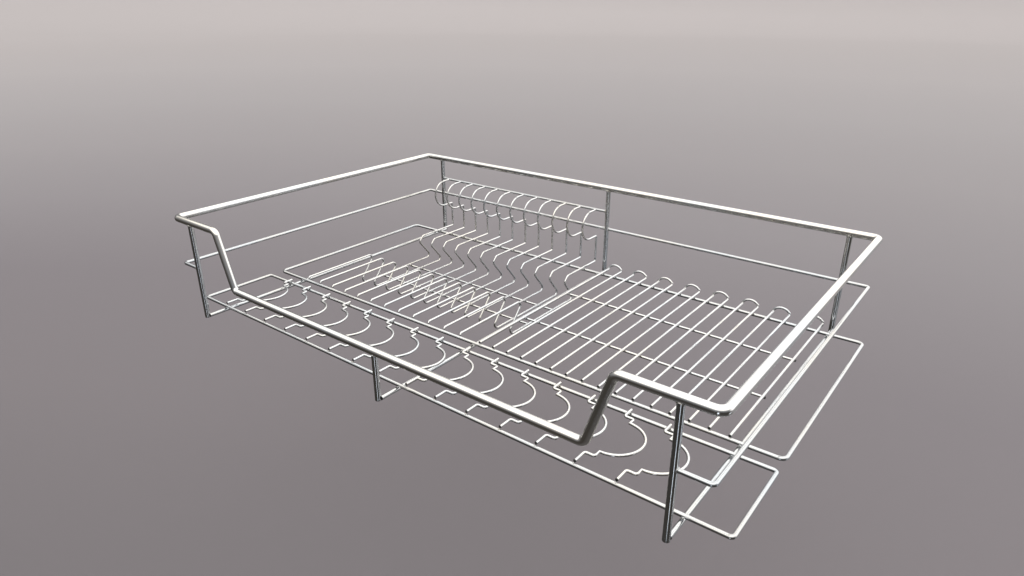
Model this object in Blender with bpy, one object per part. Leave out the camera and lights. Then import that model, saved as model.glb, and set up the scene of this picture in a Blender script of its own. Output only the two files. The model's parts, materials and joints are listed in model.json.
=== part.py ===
"""Dish drying rack: a welded wire basket with a bowl bay, a plate bay and a front shelf.

Run with: blender --background --python part.py

Frame: metres, +X right, +Y back, +Z up.  The origin is the centre of the
footprint, at the level of the posts' flat lower ends, where the rack is held.
Every wire is its own solid.  Wires that are welded to each other keep a gap.
"""
import math

import bpy
from mathutils import Vector

# ---------------------------------------------------------------- driving sizes
GAP = 0.0003                # left between wires that are welded together

RIM_WIDTH = 0.764           # top rim, measured on the wire's axis
RIM_DEPTH = 0.4820
RIM_Z = 0.1366
RIM_R = 0.0046
RIM_CORNER = 0.008
DIP_MIDDLE_X = 0.0024       # the dip in the front of the rim sits just off centre
DIP_TOP_HALF = 0.2890       # half its width at rim level...
DIP_LOW_HALF = 0.2641       # ...and at its floor
DIP_Z = 0.0605
DIP_BEND = 0.008

POST_X = (-0.3465, 0.0010, 0.3485)
POST_R = 0.0035

CROSSBAR_R = 0.0025
CROSSBAR_Z = 0.0027
CROSSBAR_X = (-0.3435, 0.0040, 0.3500)      # they meet the posts a little off axis

MID_RAIL_X = 0.3817
MID_RAIL_Z = 0.0720
MID_RAIL_R = 0.00225
MID_RAIL_CORNER = 0.004

HOOK_RAIL_Z = 0.0997
HOOK_RAIL_R = 0.002

TRAY_R = 0.00225
TRAY_Z = CROSSBAR_Z + CROSSBAR_R + TRAY_R + GAP
TRAY_HALF_WIDTH = 0.3936
FRONT_TRAY_Y = (0.0273, 0.1346)
FRONT_TRAY_CORNER = 0.005
REAR_TRAY_Y = (0.1554, 0.4528)
REAR_TRAY_CORNER = 0.007

WIRE_R = 0.0016             # every thin wire
WIRE_Z = TRAY_Z + TRAY_R + WIRE_R + GAP
WIRE_BEND = 0.0028

LOOP_COUNT = 15             # flat loops on the front tray
LOOP_FIRST_X = -0.3425
LOOP_PITCH = 0.0448
LOOP_OFFSET = 0.011         # side step before the loop
LOOP_RADIUS = 0.0295
LOOP_CENTRE_Y = 0.0844
LOOP_Y = (0.0285, 0.0460, 0.1224, 0.1376)   # start, side steps, end

BOWL_COUNT = 12             # trough-shaped wires in the left half
BOWL_FIRST_X = -0.3312
BOWL_PITCH = 0.0283
BOWL_START = (0.0034, 0.0014)   # the cut end, back of and above the tray rail
BOWL_START_RUN = 0.0057
BOWL_START_BEND = 0.0022
LIP_FRONT_Y = 0.2859        # the trough: lips, waists and floor, front to back
WAIST_FRONT = (0.2868, 0.0043)
HEEL_FRONT = (0.2612, -0.0258)
FLOOR_Y = (0.2677, 0.4261)
TROUGH_Z = -0.0316
WAIST_BACK = (0.3979, 0.0021)
LIP_BACK_Y = 0.4068
LIP_BEND = 0.0045
WAIST_BEND = 0.0030
HEEL_BEND = 0.0035
RISER_Y = 0.4867            # then level to the riser, and up it to the hook
HOOK_LOW_Z = 0.0550
HOOK_RADIUS = 0.0222
HOOK_CENTRE_Y = 0.4664

LEG_COUNT = 16              # plate hairpins, two legs each
LEG_FIRST_X = 0.0160
LEG_PITCH = 0.02154
LEG_Y = (0.1549, 0.4708)
ARCH_RISE = 0.0082
ARCH_STEPS = 8
ARCH_LEAD = 1.2 * WIRE_R    # the leg ends this far short of the arch...
ARCH_TURN = 0.2 * WIRE_R    # ...and turns up over this much

TROUGH_TIE_Y = (0.3110, 0.3734)
PLATE_TIE_Y = (0.2518, 0.3556)
TIE_OVERHANG = 0.0019

WIRE_SIDES = 2              # bevel resolution: 8 sides
BEND_STEP = math.radians(45)
LOOP_STEP = math.radians(30)

MIDDLE_Y = RIM_DEPTH / 2    # the sizes above run back from the front rim
SIDES = ("left", "middle", "right")


# ---------------------------------------------------------------- tools
def clear_scene():
    for item in list(bpy.data.objects):
        bpy.data.objects.remove(item, do_unlink=True)


def new_collection(name):
    group = bpy.data.collections.new(name)
    bpy.context.scene.collection.children.link(group)
    return group


def steel(name, colour, roughness):
    material = bpy.data.materials.new(name)
    material.use_nodes = True
    shader = material.node_tree.nodes["Principled BSDF"]
    shader.inputs["Base Color"].default_value = (*colour, 1.0)
    shader.inputs["Metallic"].default_value = 1.0
    shader.inputs["Roughness"].default_value = roughness
    material.diffuse_color = (*colour, 1.0)
    return material


def arc(centre, radius, start, end, across, up, step=LOOP_STEP):
    """Points on an arc from angle start to end, in the plane of across and up."""
    count = max(1, round(abs(end - start) / step))
    points = []
    for i in range(count + 1):
        angle = start + (end - start) * i / count
        offset = Vector(across) * math.cos(angle) + Vector(up) * math.sin(angle)
        points.append(Vector(centre) + radius * offset)
    return points


def fillet(before, corner, after, radius):
    """Points that round one corner of a path with an arc."""
    corner = Vector(corner)
    back = (Vector(before) - corner).normalized()
    ahead = (Vector(after) - corner).normalized()
    half = back.angle(ahead) / 2
    turn = math.pi - 2 * half
    centre = corner + (back + ahead).normalized() * radius / math.sin(half)
    outward = (corner - centre).normalized()
    side = (ahead - back).normalized()
    count = max(1, round(turn / BEND_STEP))
    points = []
    for i in range(count + 1):
        angle = turn * (i / count - 0.5)
        offset = outward * math.cos(angle) + side * math.sin(angle)
        points.append(centre + radius * offset)
    return points


def rounded(path, closed=False):
    """Turn (point, bend radius) pairs into points; radius 0 keeps the point."""
    points = []
    last = len(path) - 1
    for i, (point, radius) in enumerate(path):
        is_end = not closed and i in (0, last)
        if radius == 0 or is_end:
            points.append(Vector(point))
            continue
        before = path[i - 1][0]
        after = path[(i + 1) % len(path)][0]
        points.extend(fillet(before, point, after, radius))
    return points


def wire(name, points, radius, material, closed=False):
    """A bent wire: a round tube with flat cut ends, or a closed loop."""
    curve = bpy.data.curves.new(name, "CURVE")
    curve.dimensions = "3D"
    curve.bevel_depth = radius
    curve.bevel_resolution = WIRE_SIDES
    curve.use_fill_caps = True
    spline = curve.splines.new("POLY")
    spline.points.add(len(points) - 1)
    for target, (x, y, z) in zip(spline.points, points):
        target.co = (x, y - MIDDLE_Y, z, 1.0)
    spline.use_cyclic_u = closed
    spline.use_smooth = True
    curve.materials.append(material)
    item = bpy.data.objects.new(name, curve)
    rack.objects.link(item)
    return item


# ---------------------------------------------------------------- frame
def top_rim(material):
    """One loop: level at the back and sides, stepped down along the front."""
    half = RIM_WIDTH / 2
    path = [
        ((-half, 0, RIM_Z), RIM_CORNER),
        ((DIP_MIDDLE_X - DIP_TOP_HALF, 0, RIM_Z), DIP_BEND),
        ((DIP_MIDDLE_X - DIP_LOW_HALF, 0, DIP_Z), DIP_BEND),
        ((DIP_MIDDLE_X + DIP_LOW_HALF, 0, DIP_Z), DIP_BEND),
        ((DIP_MIDDLE_X + DIP_TOP_HALF, 0, RIM_Z), DIP_BEND),
        ((half, 0, RIM_Z), RIM_CORNER),
        ((half, RIM_DEPTH, RIM_Z), RIM_CORNER),
        ((-half, RIM_DEPTH, RIM_Z), RIM_CORNER),
    ]
    wire("top_rim", rounded(path, closed=True), RIM_R, material, closed=True)


def posts(material):
    """Six uprights under the rim; the front middle one is short."""
    under_rim = RIM_Z - RIM_R - GAP
    under_dip = DIP_Z - RIM_R - GAP
    front_tops = (under_rim, under_dip, under_rim)
    for side, x, front_top in zip(SIDES, POST_X, front_tops):
        for row, y, top in (("front", 0, front_top), ("rear", RIM_DEPTH, under_rim)):
            wire(f"post_{row}_{side}", [(x, y, 0), (x, y, top)], POST_R, material)


def crossbars(material):
    """Bars between the feet, front to back, that carry both trays."""
    start = POST_R + GAP
    for side, x in zip(SIDES, CROSSBAR_X):
        ends = [(x, start, CROSSBAR_Z), (x, RIM_DEPTH - start, CROSSBAR_Z)]
        wire(f"crossbar_{side}", ends, CROSSBAR_R, material)


def mid_rail(material):
    """Guard rail at half height: round both ends, and along the back."""
    beside = POST_R + GAP
    left, middle, right = POST_X
    ends = (("left", left - beside, -MID_RAIL_X), ("right", right + beside, MID_RAIL_X))
    for side, start, x in ends:
        path = [
            ((start, 0, MID_RAIL_Z), 0),
            ((x, 0, MID_RAIL_Z), MID_RAIL_CORNER),
            ((x, RIM_DEPTH, MID_RAIL_Z), MID_RAIL_CORNER),
            ((start, RIM_DEPTH, MID_RAIL_Z), 0),
        ]
        wire(f"mid_rail_{side}_end", rounded(path), MID_RAIL_R, material)
    spans = (
        ("rear_left", left + beside, middle - beside),
        ("rear_right", middle + beside, right - beside),
    )
    for side, start, end in spans:
        ends = [(start, RIM_DEPTH, MID_RAIL_Z), (end, RIM_DEPTH, MID_RAIL_Z)]
        wire(f"mid_rail_{side}", ends, MID_RAIL_R, material)


def hook_rail(material):
    """The rail that the tops of the bowl wires are welded to."""
    beside = POST_R + GAP
    left, middle, _ = POST_X
    ends = [
        (left + beside, RIM_DEPTH, HOOK_RAIL_Z),
        (middle - beside, RIM_DEPTH, HOOK_RAIL_Z),
    ]
    wire("bowl_hook_rail", ends, HOOK_RAIL_R, material)


def tray_frame(name, front, back, corner, material):
    """A rectangle of wire that lies on the three crossbars."""
    half = TRAY_HALF_WIDTH
    path = [
        ((-half, front, TRAY_Z), corner),
        ((half, front, TRAY_Z), corner),
        ((half, back, TRAY_Z), corner),
        ((-half, back, TRAY_Z), corner),
    ]
    wire(name, rounded(path, closed=True), TRAY_R, material, closed=True)


# ---------------------------------------------------------------- wires
def loop_wire(index, material):
    """A flat wire across the front tray: side step, half loop, side step."""
    x = LOOP_FIRST_X + index * LOOP_PITCH
    step_x = x + LOOP_OFFSET
    start, step_in, step_out, end = LOOP_Y
    neck_front = LOOP_CENTRE_Y - LOOP_RADIUS
    neck_back = LOOP_CENTRE_Y + LOOP_RADIUS
    front = [
        ((x, start, WIRE_Z), 0),
        ((x, step_in, WIRE_Z), WIRE_BEND),
        ((step_x, step_in, WIRE_Z), WIRE_BEND),
        ((step_x, neck_front, WIRE_Z), 0),
    ]
    back = [
        ((step_x, neck_back, WIRE_Z), 0),
        ((step_x, step_out, WIRE_Z), WIRE_BEND),
        ((x, step_out, WIRE_Z), WIRE_BEND),
        ((x, end, WIRE_Z), 0),
    ]
    centre = (step_x, LOOP_CENTRE_Y, WIRE_Z)
    quarter = math.pi / 2
    loop = arc(centre, LOOP_RADIUS, -quarter, quarter, (1, 0, 0), (0, 1, 0))
    points = rounded(front)[:-1] + loop + rounded(back)[1:]
    wire(f"front_loop_wire_{index + 1:02d}", points, WIRE_R, material)


def bowl_wire(index, material):
    """A trough-shaped wire in a front-to-back plane, hooked over at the back."""
    x = BOWL_FIRST_X + index * BOWL_PITCH
    rail_y = REAR_TRAY_Y[0]
    floor_front, floor_back = FLOOR_Y
    profile = [
        ((rail_y + BOWL_START[0], TRAY_Z + BOWL_START[1]), 0),
        ((rail_y + BOWL_START_RUN, WIRE_Z), BOWL_START_BEND),
        ((LIP_FRONT_Y, WIRE_Z), LIP_BEND),
        (WAIST_FRONT, WAIST_BEND),
        (HEEL_FRONT, HEEL_BEND),
        ((floor_front, TROUGH_Z), HEEL_BEND),
        ((floor_back, TROUGH_Z), HEEL_BEND),
        (WAIST_BACK, WAIST_BEND),
        ((LIP_BACK_Y, WIRE_Z), LIP_BEND),
        ((RISER_Y, WIRE_Z), WIRE_BEND),
        ((RISER_Y, HOOK_LOW_Z), WIRE_BEND),
        ((HOOK_CENTRE_Y, HOOK_LOW_Z), 0),
    ]
    path = [((x, y, z), radius) for (y, z), radius in profile]
    centre = (x, HOOK_CENTRE_Y, HOOK_LOW_Z + HOOK_RADIUS)
    hook = arc(centre, HOOK_RADIUS, -math.pi / 2, -1.5 * math.pi, (0, 1, 0), (0, 0, 1))
    tip = Vector((x, RIM_DEPTH - HOOK_RAIL_R - GAP, HOOK_LOW_Z + 2 * HOOK_RADIUS))
    points = rounded(path)[:-1] + hook + [tip]
    wire(f"bowl_wire_{index + 1:02d}", points, WIRE_R, material)


def plate_hairpin(index, material):
    """Two level legs joined behind by an upright half ring."""
    left = LEG_FIRST_X + 2 * index * LEG_PITCH
    right = left + LEG_PITCH
    front, back = LEG_Y
    middle = (left + right) / 2
    ring = []
    for i in range(ARCH_STEPS + 1):
        angle = math.pi * i / ARCH_STEPS
        across = -math.cos(angle) * LEG_PITCH / 2
        ring.append(Vector((middle + across, back, WIRE_Z + ARCH_RISE * math.sin(angle))))
    lead = Vector((0, ARCH_LEAD, 0))
    start = [Vector((left, front, WIRE_Z)), ring[0] - lead]
    end = [ring[-1] - lead, Vector((right, front, WIRE_Z))]
    turn = Vector((0, -ARCH_TURN, ARCH_TURN))
    points = start + [ring[0] + turn] + ring[1:-1] + [ring[-1] + turn] + end
    wire(f"plate_hairpin_{index + 1}", points, WIRE_R, material)


def ties(material):
    """Thin cross wires that hold the bowl wires and the hairpins in line."""
    below = 2 * WIRE_R + GAP
    bowl_last = BOWL_FIRST_X + (BOWL_COUNT - 1) * BOWL_PITCH
    leg_last = LEG_FIRST_X + (LEG_COUNT - 1) * LEG_PITCH
    groups = (
        ("trough", TROUGH_TIE_Y, TROUGH_Z - below, BOWL_FIRST_X, bowl_last),
        ("plate", PLATE_TIE_Y, WIRE_Z - below, LEG_FIRST_X, leg_last),
    )
    for name, rows, z, first, last in groups:
        for row, y in zip(("front", "rear"), rows):
            start = (first - TIE_OVERHANG, y, z)
            end = (last + TIE_OVERHANG, y, z)
            wire(f"{name}_tie_{row}", [start, end], WIRE_R, material)


# ---------------------------------------------------------------- the rack
clear_scene()
rack = new_collection("dish_drying_rack")

rim_steel = steel("rim_steel", (0.86, 0.85, 0.83), 0.16)
frame_steel = steel("frame_steel", (0.70, 0.71, 0.72), 0.20)
wire_steel = steel("wire_steel", (0.82, 0.82, 0.82), 0.18)

top_rim(rim_steel)
posts(frame_steel)
crossbars(frame_steel)
mid_rail(frame_steel)
hook_rail(frame_steel)
tray_frame("front_tray_frame", *FRONT_TRAY_Y, FRONT_TRAY_CORNER, frame_steel)
tray_frame("rear_tray_frame", *REAR_TRAY_Y, REAR_TRAY_CORNER, frame_steel)
for number in range(LOOP_COUNT):
    loop_wire(number, wire_steel)
for number in range(BOWL_COUNT):
    bowl_wire(number, wire_steel)
for number in range(LEG_COUNT // 2):
    plate_hairpin(number, wire_steel)
ties(wire_steel)
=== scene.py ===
import json
import math

import bpy
from mathutils import Matrix, Vector


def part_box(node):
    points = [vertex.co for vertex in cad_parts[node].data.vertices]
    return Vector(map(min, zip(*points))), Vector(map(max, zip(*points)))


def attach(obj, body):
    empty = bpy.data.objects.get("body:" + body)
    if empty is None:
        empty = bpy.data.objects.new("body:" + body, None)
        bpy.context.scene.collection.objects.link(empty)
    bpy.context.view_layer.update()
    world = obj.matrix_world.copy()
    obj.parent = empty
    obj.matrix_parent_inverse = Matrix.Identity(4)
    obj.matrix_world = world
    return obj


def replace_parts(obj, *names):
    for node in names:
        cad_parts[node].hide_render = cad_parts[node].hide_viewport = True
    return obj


# The looks of the dish drying rack: smooth bright wire with its welds and sheared ends.
# Units are metres.  Places and thicknesses come from the CAD nodes' boxes; only the
# shapes of the bends, which a box can't tell, are kept here.
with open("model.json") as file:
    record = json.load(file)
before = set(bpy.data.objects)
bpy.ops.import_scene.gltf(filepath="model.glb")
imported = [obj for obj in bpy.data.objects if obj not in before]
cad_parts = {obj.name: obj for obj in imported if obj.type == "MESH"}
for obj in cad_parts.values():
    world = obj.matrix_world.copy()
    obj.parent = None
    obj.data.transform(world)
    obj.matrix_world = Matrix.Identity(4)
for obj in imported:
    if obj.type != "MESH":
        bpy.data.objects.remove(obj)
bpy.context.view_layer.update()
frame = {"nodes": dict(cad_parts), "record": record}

# ---------------------------------------------------------------- bends
RIM_CORNER = 0.008
DIP_MIDDLE_X = 0.0024           # the dip in the front of the rim
DIP_TOP_HALF = 0.2890
DIP_LOW_HALF = 0.2641
DIP_BEND = 0.008
MID_RAIL_CORNER = 0.004
FRONT_TRAY_CORNER = 0.004
REAR_TRAY_CORNER = 0.007
WIRE_BEND = 0.0028

LOOP_OFFSET = 0.011             # front loop wires: the side step...
LOOP_STEP_IN = 0.0175           # ...and how far from the cut end things happen
LOOP_CENTRE = 0.0559
LOOP_STEP_OUT = 0.0939

BOWL_START = (0.0034, 0.0014)   # bowl wires: the cut end, back of and above the rail
BOWL_START_RUN = 0.0057         # the rest is measured back from the rail's axis
BOWL_START_BEND = 0.0022
LIP_FRONT = 0.1305
WAIST_FRONT = (0.1314, 0.0359)  # (back from the rail, up from the trough floor)
HEEL_FRONT = (0.1058, 0.0058)
FLOOR = (0.1123, 0.2707)
WAIST_BACK = (0.2425, 0.0337)
LIP_BACK = 0.2514
LIP_BEND = 0.0070
WAIST_BEND = 0.0048
HEEL_BEND = 0.0055
HOOK_RADIUS = 0.0222
HOOK_SETBACK = 0.0203           # from the riser to the hook's centre

ARCH_BEND = 0.0030              # plate hairpins, where a leg turns up into the arch
ARCH_STEPS = 16
ARCH_START = 1.15               # the arch takes over this many bend radii above the legs

# ---------------------------------------------------------------- fineness and finish
BEND_STEP = math.radians(9)
RIM_SIDES = 40
FRAME_SIDES = 28
WIRE_SIDES = 20
CHAMFER = 0.00018               # the sheared ends' burnished edge
END_DISH = 0.00012
CUT_RINGS = ((0.6, 1.0), (0.05, 1.5))   # rings of a cut face: (share of its radius, dishes deep)
SHARP_ANGLE = math.radians(32)
BARE = 0.0006                   # how far the unplated end reaches back from a cut; it takes the cut end's painted shade
SINK = 0.0012                   # how far a butt-welded end runs into its neighbour
BEAD_RADIUS = 0.00055           # of the bead round a butt weld
BEAD_SIDES = 10
BEAD_STEPS = 28
BEAD_OUT = 0.3                  # how far it sits off the wire's side, in bead radii
BEAD_BACK = 0.2                 # and off its host's side
NUGGET = (0.0013, 0.0011, 0.00050)      # half sizes of a cross weld: along Y, along X, up
NUGGET_AXES = (Vector((0, 1, 0)), Vector((1, 0, 0)), Vector((0, 0, -1)))

SIDES = ("left", "middle", "right")


# ---------------------------------------------------------------- reading the frame
def straight(node):
    """The start, end and radius of a CAD wire that lies along one axis."""
    low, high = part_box(node)
    size = high - low
    along = max(range(3), key=lambda i: size[i])
    start = (low + high) / 2
    end = start.copy()
    start[along] = low[along]
    end[along] = high[along]
    return start, end, min(size) / 2


def flat_loop(node, corner):
    """The rounded rectangle of a tray frame, and its radius."""
    low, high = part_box(node)
    radius = (high.z - low.z) / 2
    z = (high.z + low.z) / 2
    left, right = low.x + radius, high.x - radius
    front, back = low.y + radius, high.y - radius
    corners = ((left, front), (right, front), (right, back), (left, back))
    return rounded([((x, y, z), corner) for x, y in corners], closed=True), radius


# ---------------------------------------------------------------- paths
def arc(centre, radius, start, end, across, up):
    """Points on an arc from angle start to end, in the plane of across and up."""
    count = max(2, math.ceil(abs(end - start) / BEND_STEP))
    points = []
    for i in range(count + 1):
        angle = start + (end - start) * i / count
        offset = Vector(across) * math.cos(angle) + Vector(up) * math.sin(angle)
        points.append(Vector(centre) + radius * offset)
    return points


def fillet(before, corner, after, radius):
    """Points that round one corner of a path with an arc."""
    corner = Vector(corner)
    back = (Vector(before) - corner).normalized()
    ahead = (Vector(after) - corner).normalized()
    half = back.angle(ahead) / 2
    turn = math.pi / 2 - half
    centre = corner + (back + ahead).normalized() * radius / math.sin(half)
    outward = (corner - centre).normalized()
    side = (ahead - back).normalized()
    return arc(centre, radius, -turn, turn, outward, side)


def rounded(path, closed=False):
    """Turn (point, bend radius) pairs into points; radius 0 keeps the point."""
    points = []
    last = len(path) - 1
    for i, (point, radius) in enumerate(path):
        if radius == 0 or (not closed and i in (0, last)):
            points.append(Vector(point))
            continue
        points.extend(fillet(path[i - 1][0], point, path[(i + 1) % len(path)][0], radius))
    return points


def tangents_of(points, closed):
    """Unit directions along a path, averaged at its points."""
    tangents = []
    last = len(points) - 1
    for i, point in enumerate(points):
        total = Vector()
        if closed or i > 0:
            total += (point - points[i - 1]).normalized()
        if closed or i < last:
            total += (points[(i + 1) % len(points)] - point).normalized()
        tangents.append(total.normalized())
    return tangents


def frames_of(points, tangents, closed):
    """A pair of crosswise axes at each point that doesn't twist along the path."""
    normal = tangents[0].orthogonal().normalized()
    normals = [normal]
    for before, after in zip(tangents, tangents[1:]):
        normal = before.rotation_difference(after) @ normal
        normals.append(normal)
    if closed:
        around = tangents[-1].rotation_difference(tangents[0]) @ normal
        first = normals[0]
        twist = math.atan2(around.cross(first).dot(tangents[0]), around.dot(first))
        for i, tangent in enumerate(tangents):
            share = twist * i / len(tangents)
            normals[i] = Matrix.Rotation(share, 3, tangent) @ normals[i]
    return [(n, t.cross(n)) for n, t in zip(normals, tangents)]


# ---------------------------------------------------------------- meshes
def ring(centre, across, up, radius, sides):
    """Points round a circle in the plane of across and up."""
    points = []
    for i in range(sides):
        angle = 2 * math.pi * i / sides
        points.append(centre + radius * (across * math.cos(angle) + up * math.sin(angle)))
    return points


def cap(end, out, across, up, radius, sides):
    """Rings that close a tube: a small chamfer and a slightly dished cut face."""
    edge = radius - CHAMFER
    rings = [
        ring(end - out * CHAMFER, across, up, radius, sides),
        ring(end, across, up, edge, sides),
    ]
    for share, deep in CUT_RINGS:
        rings.append(ring(end - out * END_DISH * deep, across, up, edge * share, sides))
    return rings


def tube(name, path, radius, sides, closed=False):
    """A smooth tube along a path.  Its UVs are metres round it and along it."""
    points = [Vector(p) for p in path]
    tangents = tangents_of(points, closed)
    frames = frames_of(points, tangents, closed)
    rings = []
    lengths = []
    travelled = 0.0
    for i, point in enumerate(points):
        if i > 0:
            travelled += (point - points[i - 1]).length
        rings.append(ring(point, *frames[i], radius, sides))
        lengths.append(travelled)
    cut_rings = 0               # at each end, those before the plated wire begins
    if closed:
        travelled += (points[0] - points[-1]).length
    else:
        first, last = tangents[0], tangents[-1]
        rings[0] = ring(points[0] + first * BARE, *frames[0], radius, sides)
        rings[-1] = ring(points[-1] - last * BARE, *frames[-1], radius, sides)
        head = cap(points[0], -first, *frames[0], radius, sides)
        tail = cap(points[-1], last, *frames[-1], radius, sides)
        cut_rings = len(head)
        rings = head[::-1] + rings + tail
        lengths = [0.0] * len(head) + lengths + [travelled] * len(tail)
    vertices = [v for loop in rings for v in loop]
    spans = len(rings) if closed else len(rings) - 1
    faces = []
    uvs = []
    cut_faces = []
    girth = 2 * math.pi * radius
    for i in range(spans):
        j = (i + 1) % len(rings)
        low = lengths[i]
        high = lengths[j] if j else travelled
        for k in range(sides):
            m = (k + 1) % sides
            faces.append((i * sides + k, i * sides + m, j * sides + m, j * sides + k))
            left, right = girth * k / sides, girth * (k + 1) / sides
            uvs += [(left, low), (right, low), (right, high), (left, high)]
            cut_faces.append(i < cut_rings or i >= spans - cut_rings)
    if not closed:
        top = (len(rings) - 1) * sides
        faces.append(tuple(reversed(range(sides))))
        faces.append(tuple(range(top, top + sides)))
        uvs += [(0.0, 0.0)] * (2 * sides)
        cut_faces += [True, True]
    mesh = bpy.data.meshes.new(name)
    mesh.from_pydata(vertices, [], faces)
    layer = mesh.uv_layers.new(name="wire_metres")
    for item, uv in zip(layer.data, uvs):
        item.uv = uv
    # Faces at the cut ends and the bare band behind them take the second material, whose near-black
    # colour is painted shade.
    for polygon, is_cut in zip(mesh.polygons, cut_faces):
        polygon.material_index = int(is_cut)
    mesh.shade_smooth()
    if not closed:
        mesh.set_sharp_from_angle(angle=SHARP_ANGLE)
    return mesh


def blob(centre, axes, sizes, rows=8, columns=14):
    """The points and faces of an ellipsoid, for a cross weld's nugget."""
    points = []
    for i in range(rows + 1):
        lean = math.pi * i / rows
        for k in range(columns):
            turn = 2 * math.pi * k / columns
            wide = math.sin(lean)
            parts = (wide * math.cos(turn), wide * math.sin(turn), math.cos(lean))
            offset = Vector()
            for axis, size, amount in zip(axes, sizes, parts):
                offset += axis * size * amount
            points.append(centre + offset)
    faces = []
    for i in range(rows):
        for k in range(columns):
            m = (k + 1) % columns
            row, below = i * columns, (i + 1) * columns
            faces.append((row + k, below + k, below + m, row + m))
    return points, faces


# ---------------------------------------------------------------- materials
class Nodes:
    """Short names for building a node tree."""

    def __init__(self, owner):
        owner.use_nodes = True
        self.tree = owner.node_tree

    def add(self, kind, **settings):
        node = self.tree.nodes.new(kind)
        for name, value in settings.items():
            setattr(node, name, value)
        return node

    def link(self, output, target):
        self.tree.links.new(output, target)

    def coordinates(self, kind, scale):
        place = self.add("ShaderNodeTexCoord")
        mapping = self.add("ShaderNodeMapping")
        mapping.inputs["Scale"].default_value = scale
        self.link(place.outputs[kind], mapping.inputs["Vector"])
        return mapping.outputs["Vector"]

    def noise(self, vector, scale, detail, roughness):
        node = self.add("ShaderNodeTexNoise")
        node.inputs["Scale"].default_value = scale
        node.inputs["Detail"].default_value = detail
        node.inputs["Roughness"].default_value = roughness
        self.link(vector, node.inputs["Vector"])
        return node.outputs["Fac"]

    def ramp(self, factor, stops):
        node = self.add("ShaderNodeValToRGB")
        elements = node.color_ramp.elements
        while len(elements) < len(stops):
            elements.new(0.5)
        for element, (position, colour) in zip(elements, stops):
            element.position = position
            element.color = (*colour, 1.0)
        self.link(factor, node.inputs["Fac"])
        return node.outputs["Color"]

    def spread(self, factor, low, high, start=0.3, stop=0.7):
        node = self.add("ShaderNodeMapRange")
        node.inputs["From Min"].default_value = start
        node.inputs["From Max"].default_value = stop
        node.inputs["To Min"].default_value = low
        node.inputs["To Max"].default_value = high
        self.link(factor, node.inputs["Value"])
        return node.outputs["Result"]

    def maths(self, operation, a, b):
        node = self.add("ShaderNodeMath", operation=operation)
        for socket, value in zip(node.inputs, (a, b)):
            if isinstance(value, (int, float)):
                socket.default_value = value
            else:
                self.link(value, socket)
        return node.outputs["Value"]

    def bump(self, height, strength, distance):
        node = self.add("ShaderNodeBump")
        node.inputs["Strength"].default_value = strength
        node.inputs["Distance"].default_value = distance
        self.link(height, node.inputs["Height"])
        return node.outputs["Normal"]


UNIFORM = (1.0, 1.0, 1.0)       # the scale of a pattern that is alike in all directions
LINE_LENGTH_SCALE = 6.0         # the drawn lines' scale along the wire
LINE_ROUGHNESS = (-0.02, 0.03)  # what each pattern adds to the roughness
CLOUD_ROUGHNESS = (-0.015, 0.03)
LINE_DEPTH = 0.000004
WARM = (1.03, 1.0, 0.955)
COOL = (0.955, 0.985, 1.02)
STRAW = (0.97, 0.92, 0.83)
# The cut ends' colours are painted shade: near black for the dark reflection a cut face shows; the
# grain varies them only a little.
CUT_END_PAINTED_SHADE_DARKEST = (0.004, 0.004, 0.004)
CUT_END_PAINTED_SHADE_PALEST = (0.035, 0.033, 0.032)
TORN_ROUGHNESS = (0.35, 0.6)
TORN_DEPTH = 0.00006
WELD_ROUGHNESS = (0.16, 0.3)
WELD_DEPTH = 0.00005


def tinted(colour, tint):
    return tuple(c * t for c, t in zip(colour, tint))


def new_material(name, metallic):
    """A new material, its nodes and the inputs of its shader."""
    material = bpy.data.materials.new(name)
    nodes = Nodes(material)
    inputs = nodes.tree.nodes["Principled BSDF"].inputs
    inputs["Metallic"].default_value = metallic
    return material, nodes, inputs


def bright_steel(name, colour, roughness, line_scale):
    """Plated drawn wire: faint lines along it, cloudy polish, a breath of warm and cool."""
    material, nodes, inputs = new_material(name, metallic=1.0)
    along = nodes.coordinates("UV", (line_scale, LINE_LENGTH_SCALE, 1.0))
    place = nodes.coordinates("Object", UNIFORM)
    lines = nodes.noise(along, scale=1.0, detail=4.0, roughness=0.6)
    clouds = nodes.noise(place, scale=38.0, detail=4.0, roughness=0.6)
    tone = nodes.noise(place, scale=9.0, detail=2.0, roughness=0.5)
    stops = [(0.35, tinted(colour, COOL)), (0.5, colour), (0.65, tinted(colour, WARM))]
    nodes.link(nodes.ramp(tone, stops), inputs["Base Color"])
    drawn = nodes.spread(lines, *LINE_ROUGHNESS)
    cloudy = nodes.spread(clouds, *CLOUD_ROUGHNESS)
    total = nodes.maths("ADD", nodes.maths("ADD", drawn, cloudy), roughness)
    nodes.link(total, inputs["Roughness"])
    nodes.link(nodes.bump(lines, 0.05, LINE_DEPTH), inputs["Normal"])
    return material


def sheared_end_painted_shade(name):
    """A wire's cut end: torn and unpolished. Its near-black colour is painted shade, standing in for
    the dark reflection a cut face shows.
    """
    material, nodes, inputs = new_material(name, metallic=0.5)
    place = nodes.coordinates("Object", UNIFORM)
    grain = nodes.noise(place, scale=1800.0, detail=4.0, roughness=0.6)
    nodes.link(nodes.ramp(grain, [(0.35, CUT_END_PAINTED_SHADE_DARKEST), (0.7, CUT_END_PAINTED_SHADE_PALEST)]), inputs["Base Color"])
    nodes.link(nodes.spread(grain, *TORN_ROUGHNESS), inputs["Roughness"])
    nodes.link(nodes.bump(grain, 0.5, TORN_DEPTH), inputs["Normal"])
    return material


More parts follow.
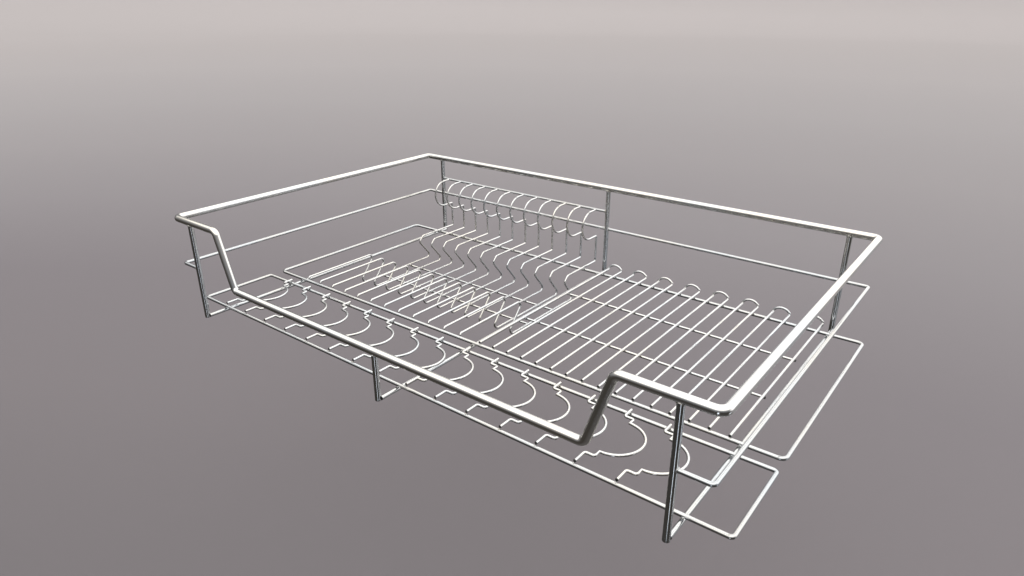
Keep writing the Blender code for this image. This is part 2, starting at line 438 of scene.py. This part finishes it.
def weld_steel(name, colour):
    """Weld metal: a little duller than the wire, rippled and faintly straw coloured."""
    material, nodes, inputs = new_material(name, metallic=1.0)
    place = nodes.coordinates("Object", UNIFORM)
    ripple = nodes.noise(place, scale=900.0, detail=3.0, roughness=0.5)
    tone = nodes.noise(place, scale=60.0, detail=2.0, roughness=0.5)
    stops = [(0.4, colour), (0.65, tinted(colour, STRAW))]
    nodes.link(nodes.ramp(tone, stops), inputs["Base Color"])
    nodes.link(nodes.spread(ripple, *WELD_ROUGHNESS), inputs["Roughness"])
    nodes.link(nodes.bump(ripple, 0.3, WELD_DEPTH), inputs["Normal"])
    return material


# ---------------------------------------------------------------- pieces
def show(mesh, materials):
    """Put a mesh in the scene as a piece of the rack."""
    item = bpy.data.objects.new(mesh.name, mesh)
    bpy.context.scene.collection.objects.link(item)
    for material in materials:
        mesh.materials.append(material)
    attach(item, "root")
    return item


def wire(node, path, radius, sides, slot, closed=False):
    """The smooth wire that stands for one CAD node."""
    mesh = tube(f"{node}_wire", path, radius, sides, closed)
    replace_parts(show(mesh, [steels[slot], sheared]), node)


def top_rim():
    """The heavy rim with its dip in front.  Returns its radius."""
    low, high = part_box("top_rim")
    post_y = straight("post_rear_left")[0].y
    radius = high.y - post_y
    left, right = low.x + radius, high.x - radius
    top, floor = high.z - radius, low.z + radius
    path = [
        ((left, -post_y, top), RIM_CORNER),
        ((DIP_MIDDLE_X - DIP_TOP_HALF, -post_y, top), DIP_BEND),
        ((DIP_MIDDLE_X - DIP_LOW_HALF, -post_y, floor), DIP_BEND),
        ((DIP_MIDDLE_X + DIP_LOW_HALF, -post_y, floor), DIP_BEND),
        ((DIP_MIDDLE_X + DIP_TOP_HALF, -post_y, top), DIP_BEND),
        ((right, -post_y, top), RIM_CORNER),
        ((right, post_y, top), RIM_CORNER),
        ((left, post_y, top), RIM_CORNER),
    ]
    wire("top_rim", rounded(path, closed=True), radius, RIM_SIDES, "rim_steel", closed=True)
    return radius


def posts(rim_radius):
    """The six posts, each run into the rim above it."""
    up = Vector((0, 0, 1))
    rim_way = Vector((1, 0, 0))
    for row in ("front", "rear"):
        for side in SIDES:
            node = f"post_{row}_{side}"
            foot, top, radius = straight(node)
            wire(node, [foot, top + up * SINK], radius, FRAME_SIDES, "frame_steel")
            rim_axis = top + up * rim_radius
            butt_bead(top, up, radius, rim_axis, rim_way, rim_radius)


def crossbars():
    """The bars from front to back between the posts' feet."""
    for side in SIDES:
        node = f"crossbar_{side}"
        start, end, radius = straight(node)
        reach = Vector((0, 2 * SINK, 0))
        wire(node, [start - reach, end + reach], radius, FRAME_SIDES, "frame_steel")


def rails():
    """The mid rails round the ends and along the back, and the bowl wires' hook rail."""
    post_radius = straight("post_rear_left")[2]
    post_way = Vector((0, 0, 1))
    sink = Vector((SINK, 0, 0))
    for side, sign in (("left", -1), ("right", 1)):
        node = f"mid_rail_{side}_end"
        low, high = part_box(node)
        radius = (high.z - low.z) / 2
        z = (high.z + low.z) / 2
        outer = low.x + radius if sign < 0 else high.x - radius
        inner = (high.x if sign < 0 else low.x) - sign * SINK
        front, back = low.y + radius, high.y - radius
        path = [
            ((inner, front, z), 0),
            ((outer, front, z), MID_RAIL_CORNER),
            ((outer, back, z), MID_RAIL_CORNER),
            ((inner, back, z), 0),
        ]
        wire(node, rounded(path), radius, FRAME_SIDES, "frame_steel")
        for y in (front, back):
            end = Vector((inner + sign * SINK, y, z))
            inward = Vector((-sign, 0, 0))
            butt_bead(end, inward, radius, end + inward * post_radius, post_way, post_radius)
    for node in ("mid_rail_rear_left", "mid_rail_rear_right", "bowl_hook_rail"):
        start, end, radius = straight(node)
        wire(node, [start - sink, end + sink], radius, FRAME_SIDES, "frame_steel")
        for point, out in ((start, Vector((-1, 0, 0))), (end, Vector((1, 0, 0)))):
            butt_bead(point, out, radius, point + out * post_radius, post_way, post_radius)


def tray_frames():
    for name, corner in (("front", FRONT_TRAY_CORNER), ("rear", REAR_TRAY_CORNER)):
        node = f"{name}_tray_frame"
        path, radius = flat_loop(node, corner)
        wire(node, path, radius, FRAME_SIDES, "frame_steel", closed=True)


def loop_wire(node):
    """A level wire of the front tray: a side step, a half ring and a step back."""
    low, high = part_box(node)
    radius = (high.z - low.z) / 2
    z = (high.z + low.z) / 2
    x = low.x + radius
    step_x = x + LOOP_OFFSET
    loop_radius = high.x - radius - step_x
    centre_y = low.y + LOOP_CENTRE
    front = [
        ((x, low.y, z), 0),
        ((x, low.y + LOOP_STEP_IN, z), WIRE_BEND),
        ((step_x, low.y + LOOP_STEP_IN, z), WIRE_BEND),
        ((step_x, centre_y - loop_radius, z), 0),
    ]
    back = [
        ((step_x, centre_y + loop_radius, z), 0),
        ((step_x, low.y + LOOP_STEP_OUT, z), WIRE_BEND),
        ((x, low.y + LOOP_STEP_OUT, z), WIRE_BEND),
        ((x, high.y, z), 0),
    ]
    quarter = math.pi / 2
    loop = arc((step_x, centre_y, z), loop_radius, -quarter, quarter, (1, 0, 0), (0, 1, 0))
    wire(node, rounded(front)[:-1] + loop + rounded(back)[1:], radius, WIRE_SIDES, "wire_steel")


def bowl_wire(node, level, rail_y, rail_z):
    """A wire of the bowl bay, from the front rail through the trough to its hook.  Returns its x."""
    low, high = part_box(node)
    radius = (high.x - low.x) / 2
    x = (high.x + low.x) / 2
    floor_z = low.z + radius
    riser_y = high.y - radius
    hook_top = high.z - radius
    profile = [
        ((rail_y + BOWL_START[0], rail_z + BOWL_START[1]), 0),
        ((rail_y + BOWL_START_RUN, level), BOWL_START_BEND),
        ((rail_y + LIP_FRONT, level), LIP_BEND),
        ((rail_y + WAIST_FRONT[0], floor_z + WAIST_FRONT[1]), WAIST_BEND),
        ((rail_y + HEEL_FRONT[0], floor_z + HEEL_FRONT[1]), HEEL_BEND),
        ((rail_y + FLOOR[0], floor_z), HEEL_BEND),
        ((rail_y + FLOOR[1], floor_z), HEEL_BEND),
        ((rail_y + WAIST_BACK[0], floor_z + WAIST_BACK[1]), WAIST_BEND),
        ((rail_y + LIP_BACK, level), LIP_BEND),
        ((riser_y, level), WIRE_BEND),
        ((riser_y, hook_top - 2 * HOOK_RADIUS), WIRE_BEND),
        ((riser_y - HOOK_SETBACK, hook_top - 2 * HOOK_RADIUS), 0),
    ]
    path = rounded([((x, y, z), bend) for (y, z), bend in profile])
    centre = (x, riser_y - HOOK_SETBACK, hook_top - HOOK_RADIUS)
    hook = arc(centre, HOOK_RADIUS, -math.pi / 2, -1.5 * math.pi, (0, 1, 0), (0, 0, 1))
    hook_rail, _, hook_rail_radius = straight("bowl_hook_rail")
    tip = Vector((x, hook_rail.y - hook_rail_radius, hook_top))
    wire(node, path[:-1] + hook + [tip], radius, WIRE_SIDES, "wire_steel")
    return x


def plate_hairpin(node, level):
    """Two level legs that turn up into a small arch behind.  Returns the legs' x places."""
    low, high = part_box(node)
    radius = level - low.z
    left, right = low.x + radius, high.x - radius
    back = high.y - radius
    rise = high.z - radius - level
    middle, half = (left + right) / 2, (right - left) / 2
    arch = []
    for i in range(ARCH_STEPS + 1):
        angle = math.pi * i / ARCH_STEPS
        lift = math.sin(angle)
        arch.append(Vector((middle - half * math.cos(angle), back, level + rise * lift)))
    ends = [Vector((x, low.y, level)) for x in (left, right)]
    heels = [Vector((x, back, level)) for x in (left, right)]
    up = Vector((0, 0, rise))
    first = fillet(ends[0], heels[0], heels[0] + up, ARCH_BEND)
    last = fillet(heels[1] + up, heels[1], ends[1], ARCH_BEND)
    inner = [p for p in arch if p.z > level + ARCH_BEND * ARCH_START]
    path = [ends[0]] + first + inner + last + [ends[1]]
    wire(node, path, radius, WIRE_SIDES, "wire_steel")
    return left, right


# ---------------------------------------------------------------- welds
def butt_bead(end, out, radius, host, host_way, host_radius):
    """The bead round a wire's end where it meets the side of a thicker wire."""
    side = out.cross(host_way).normalized()
    points = []
    for i in range(BEAD_STEPS):
        angle = 2 * math.pi * i / BEAD_STEPS
        round_end = side * math.cos(angle) + host_way * math.sin(angle)
        offset = (radius + BEAD_RADIUS * BEAD_OUT) * round_end
        across = (end + offset - host).dot(side)
        depth = math.sqrt(max(host_radius ** 2 - across ** 2, 0.0))
        along = (host - end).dot(out) - depth
        points.append(end + offset + out * (along - BEAD_RADIUS * BEAD_BACK))
    frame_welds.append(("bead", points))


def crossings(group, xs, ys, z):
    """Nuggets where wires that run back at xs lie on wires that run across at ys."""
    for x in xs:
        for y in ys:
            group.append(("nugget", Vector((x, y, z))))


def weld_piece(name, group):
    """All the welds of one group as one piece."""
    vertices = []
    faces = []
    for kind, data in group:
        base = len(vertices)
        if kind == "bead":
            mesh = tube("bead", data, BEAD_RADIUS, BEAD_SIDES, closed=True)
            points = [v.co.copy() for v in mesh.vertices]
            loops = [tuple(p.vertices) for p in mesh.polygons]
            bpy.data.meshes.remove(mesh)
        else:
            points, loops = blob(data, NUGGET_AXES, NUGGET)
        vertices += points
        faces += [tuple(base + i for i in loop) for loop in loops]
    mesh = bpy.data.meshes.new(name)
    mesh.from_pydata(vertices, [], faces)
    mesh.validate()
    mesh.shade_smooth()
    show(mesh, [welded])


# ---------------------------------------------------------------- the rack
finishes = {m["slot"]: tuple(m["base_color"][:3]) for m in frame["record"]["materials"]}
drawn_finishes = {              # slot: (roughness, scale of the lines round the wire)
    "rim_steel": (0.10, 1500.0),
    "frame_steel": (0.12, 2200.0),
    "wire_steel": (0.11, 3600.0),
}
steels = {}
for steel_slot, finish in drawn_finishes.items():
    steel_name = steel_slot.replace("_", "_bright_")
    steels[steel_slot] = bright_steel(steel_name, finishes[steel_slot], *finish)
# The cut ends' material: torn and rough, with a near-black colour that is painted shade.
sheared = sheared_end_painted_shade("sheared_end_painted_shade")
welded = weld_steel("weld_steel", finishes["frame_steel"])
frame_welds = []
front_welds = []
bowl_welds = []
plate_welds = []

posts(top_rim())
crossbars()
rails()
tray_frames()

front_low, front_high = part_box("front_tray_frame")
rear_low, rear_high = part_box("rear_tray_frame")
rail_radius = (rear_high.z - rear_low.z) / 2
rail_level = (rear_high.z + rear_low.z) / 2
front_rails = (front_low.y + rail_radius, front_high.y - rail_radius)
rear_rails = (rear_low.y + rail_radius, rear_high.y - rail_radius)
trough_ties = ("trough_tie_front", "trough_tie_rear")
plate_ties = ("plate_tie_front", "plate_tie_rear")
trough_tie_ys = [straight(tie)[0].y for tie in trough_ties]
plate_tie_ys = [straight(tie)[0].y for tie in plate_ties]

loop_nodes = sorted(n for n in frame["nodes"] if n.startswith("front_loop_wire"))
bowl_nodes = sorted(n for n in frame["nodes"] if n.startswith("bowl_wire"))
hairpin_nodes = sorted(n for n in frame["nodes"] if n.startswith("plate_hairpin"))

loop_low, loop_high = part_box(loop_nodes[0])
wire_radius = (loop_high.z - loop_low.z) / 2
wire_level = (loop_high.z + loop_low.z) / 2
contact = wire_level - wire_radius

for loop_node in loop_nodes:
    loop_wire(loop_node)
    corner_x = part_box(loop_node)[0].x + wire_radius
    crossings(front_welds, [corner_x], front_rails, contact)

for bowl_node in bowl_nodes:
    bowl_x = bowl_wire(bowl_node, wire_level, rear_rails[0], rail_level)
    crossings(bowl_welds, [bowl_x], rear_rails[1:], contact)
    trough_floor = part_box(bowl_node)[0].z
    crossings(bowl_welds, [bowl_x], trough_tie_ys, trough_floor)

for hairpin_node in hairpin_nodes:
    legs = plate_hairpin(hairpin_node, wire_level)
    crossings(plate_welds, legs, rear_rails, contact)
    crossings(plate_welds, legs, plate_tie_ys, contact)

for tie in trough_ties + plate_ties:
    tie_start, tie_end, tie_radius = straight(tie)
    wire(tie, [tie_start, tie_end], tie_radius, WIRE_SIDES, "wire_steel")

for side in SIDES:
    bar_start, _, bar_radius = straight(f"crossbar_{side}")
    bar_top = bar_start.z + bar_radius
    crossings(frame_welds, [bar_start.x], front_rails + rear_rails, bar_top)

weld_piece("frame_welds", frame_welds)
weld_piece("front_tray_welds", front_welds)
weld_piece("bowl_bay_welds", bowl_welds)
weld_piece("plate_bay_welds", plate_welds)


# ---------------------------------------------------------------- studio
FLOOR_Z = -0.30
FLOOR_REACH = 12.0
FLOOR_COLUMNS = 96
COVE_RADIUS = 4.0
COVE_STEPS = 12
WALL_TOP = 14.0
PAPER_ROUGHNESS = 0.9
# The floor's colour is painted shade, a light falloff painted into the paper: darker round a centre
# in front, paler far off.
FLOOR_SHIFT = (-0.4, 2.5, 0.0)  # added to a place before its distance is taken
FLOOR_FADE = 16.0               # the distance at the last of the stops
FLOOR_PAINTED_SHADE_STOPS = [
    (0.125, (0.170, 0.161, 0.172)),
    (0.162, (0.208, 0.194, 0.208)),
    (0.200, (0.222, 0.208, 0.225)),
    (0.250, (0.275, 0.262, 0.279)),
    (0.312, (0.321, 0.307, 0.322)),
    (0.406, (0.363, 0.349, 0.363)),
    (0.562, (0.409, 0.391, 0.403)),
    (0.750, (0.437, 0.417, 0.425)),
    (0.890, (0.459, 0.438, 0.446)),
    (1.000, (0.515, 0.491, 0.500)),
]
WINDOW_WAY = (0.34, 0.94, 0.0)   # where the sky is bright down to the horizon
WINDOW_EDGES = (0.30, 0.80)     # how squarely a direction faces it where it begins and is full
FRONT_STOPS = [
    (0.00, (0.100, 0.095, 0.095)),
    (0.20, (0.045, 0.041, 0.036)),
    (0.40, (0.060, 0.055, 0.050)),
    (0.475, (0.100, 0.097, 0.095)),
    (0.55, (0.180, 0.180, 0.186)),
    (0.65, (0.280, 0.280, 0.286)),
    (0.71, (0.460, 0.455, 0.450)),
    (0.76, (1.300, 1.270, 1.210)),
    (1.00, (1.700, 1.660, 1.580)),
]
WINDOW_STOPS = [
    (0.00, (0.100, 0.095, 0.095)),
    (0.12, (0.230, 0.225, 0.225)),
    (0.30, (0.320, 0.315, 0.320)),
    (0.43, (0.360, 0.355, 0.360)),
    (0.475, (0.550, 0.545, 0.550)),
    (0.51, (1.300, 1.290, 1.280)),
    (1.00, (1.700, 1.660, 1.580)),
]


def studio_floor():
    """A round floor that sweeps up into a wall. Its colour is painted shade: darker near the front,
    paler far off.
    """
    profile = [(0.0, FLOOR_Z), (FLOOR_REACH, FLOOR_Z)]
    for i in range(1, COVE_STEPS + 1):
        angle = math.pi / 2 * i / COVE_STEPS
        out = FLOOR_REACH + COVE_RADIUS * math.sin(angle)
        profile.append((out, FLOOR_Z + COVE_RADIUS * (1 - math.cos(angle))))
    profile.append((FLOOR_REACH + COVE_RADIUS, WALL_TOP))
    columns = FLOOR_COLUMNS
    vertices = []
    for out, z in profile:
        for k in range(columns):
            angle = 2 * math.pi * k / columns
            vertices.append((out * math.cos(angle), out * math.sin(angle), z))
    faces = []
    for i in range(len(profile) - 1):
        for k in range(columns):
            m = (k + 1) % columns
            row, above = i * columns, (i + 1) * columns
            faces.append((row + k, row + m, above + m, above + k))
    mesh = bpy.data.meshes.new("studio_floor")
    mesh.from_pydata(vertices, [], faces)
    mesh.validate()
    mesh.shade_smooth()
    floor = bpy.data.objects.new("studio_floor", mesh)
    bpy.context.scene.collection.objects.link(floor)
    material, nodes, inputs = new_material("studio_paper", metallic=0.0)
    inputs["Roughness"].default_value = PAPER_ROUGHNESS
    inputs["Specular IOR Level"].default_value = 0.0
    place = nodes.add("ShaderNodeTexCoord")
    moved = nodes.add("ShaderNodeVectorMath", operation="ADD")
    moved.inputs[1].default_value = FLOOR_SHIFT
    nodes.link(place.outputs["Object"], moved.inputs[0])
    length = nodes.add("ShaderNodeVectorMath", operation="LENGTH")
    nodes.link(moved.outputs["Vector"], length.inputs[0])
    distance = nodes.spread(length.outputs["Value"], 0.0, 1.0, 0.0, FLOOR_FADE)
    # Painted shade: the paper's colour darkens with nearness to a centre in front of the rack.
    nodes.link(nodes.ramp(distance, FLOOR_PAINTED_SHADE_STOPS), inputs["Base Color"])
    mesh.materials.append(material)
    floor.visible_glossy = False
    floor.visible_shadow = False


def studio_sky():
    """Soft light: bright overhead, dark below, and a wide bright window at the back."""
    world = bpy.data.worlds.new("studio_sky")
    bpy.context.scene.world = world
    nodes = Nodes(world)
    place = nodes.add("ShaderNodeTexCoord")
    parts = nodes.add("ShaderNodeSeparateXYZ")
    nodes.link(place.outputs["Generated"], parts.inputs["Vector"])
    height = nodes.spread(parts.outputs["Z"], 0.0, 1.0, -1.0, 1.0)
    facing = nodes.add("ShaderNodeVectorMath", operation="DOT_PRODUCT")
    facing.inputs[1].default_value = WINDOW_WAY
    nodes.link(place.outputs["Generated"], facing.inputs[0])
    window = nodes.add("ShaderNodeMapRange", interpolation_type="SMOOTHSTEP")
    window.inputs["From Min"].default_value = WINDOW_EDGES[0]
    window.inputs["From Max"].default_value = WINDOW_EDGES[1]
    nodes.link(facing.outputs["Value"], window.inputs["Value"])
    blend = nodes.add("ShaderNodeMixRGB")
    nodes.link(window.outputs["Result"], blend.inputs["Fac"])
    nodes.link(nodes.ramp(height, FRONT_STOPS), blend.inputs["Color1"])
    nodes.link(nodes.ramp(height, WINDOW_STOPS), blend.inputs["Color2"])
    nodes.link(blend.outputs["Color"], nodes.tree.nodes["Background"].inputs["Color"])


PANEL_TARGET = (0.0, 0.0, 0.05)
PANELS = {
    "front_strip": {
        "place": (0.84, -1.40, -0.55),
        "size": (0.24, 0.9),
        "glow": 1.33,
        "colour": (0.86, 0.92, 1.0),
    },
    "side_strip": {
        "place": (1.60, 0.10, -0.70),
        "size": (0.24, 0.6),
        "glow": 1.0,
        "colour": (0.90, 0.94, 1.0),
    },
}


def soft_panel(name, place, size, glow, colour):
    """A glowing panel that is seen only as a highlight in the steel."""
    across, up = size[0] / 2, size[1] / 2
    corners = [(-across, -up, 0), (across, -up, 0), (across, up, 0), (-across, up, 0)]
    mesh = bpy.data.meshes.new(name)
    mesh.from_pydata(corners, [], [(0, 1, 2, 3)])
    material, _, inputs = new_material(name, metallic=0.0)
    material.cycles.emission_sampling = "NONE"
    inputs["Base Color"].default_value = (0.0, 0.0, 0.0, 1.0)
    inputs["Emission Color"].default_value = (*colour, 1.0)
    inputs["Emission Strength"].default_value = glow
    mesh.materials.append(material)
    panel = bpy.data.objects.new(name, mesh)
    panel.location = place
    way = Vector(PANEL_TARGET) - Vector(place)
    panel.rotation_euler = way.to_track_quat("Z", "Y").to_euler()
    panel.visible_camera = False
    panel.visible_diffuse = False
    panel.visible_shadow = False
    bpy.context.scene.collection.objects.link(panel)


CAMERA_PLACE = (0.5208, -0.6672, 0.4150)
CAMERA_YAW = math.radians(37.946)       # turned left from looking straight back
CAMERA_PITCH = math.radians(-23.183)
CAMERA_ROLL = math.radians(-0.095)
CAMERA_LENS = 24.384
SENSOR = 36.0
CAMERA_FAR = 200.0


def camera():
    """The camera, above the rack's front right corner."""
    data = bpy.data.cameras.new("camera")
    data.lens = CAMERA_LENS
    data.sensor_width = SENSOR
    data.clip_end = CAMERA_FAR
    item = bpy.data.objects.new("camera", data)
    turn = Matrix.Rotation(CAMERA_YAW, 4, "Z")
    tilt = Matrix.Rotation(math.pi / 2 + CAMERA_PITCH, 4, "X")
    roll = Matrix.Rotation(CAMERA_ROLL, 4, "Z")
    item.matrix_world = Matrix.Translation(CAMERA_PLACE) @ turn @ tilt @ roll
    bpy.context.scene.collection.objects.link(item)
    bpy.context.scene.camera = item


studio_floor()
studio_sky()
for panel_name, panel_values in PANELS.items():
    soft_panel(panel_name, **panel_values)
camera()
bpy.context.scene.view_settings.view_transform = "Standard"
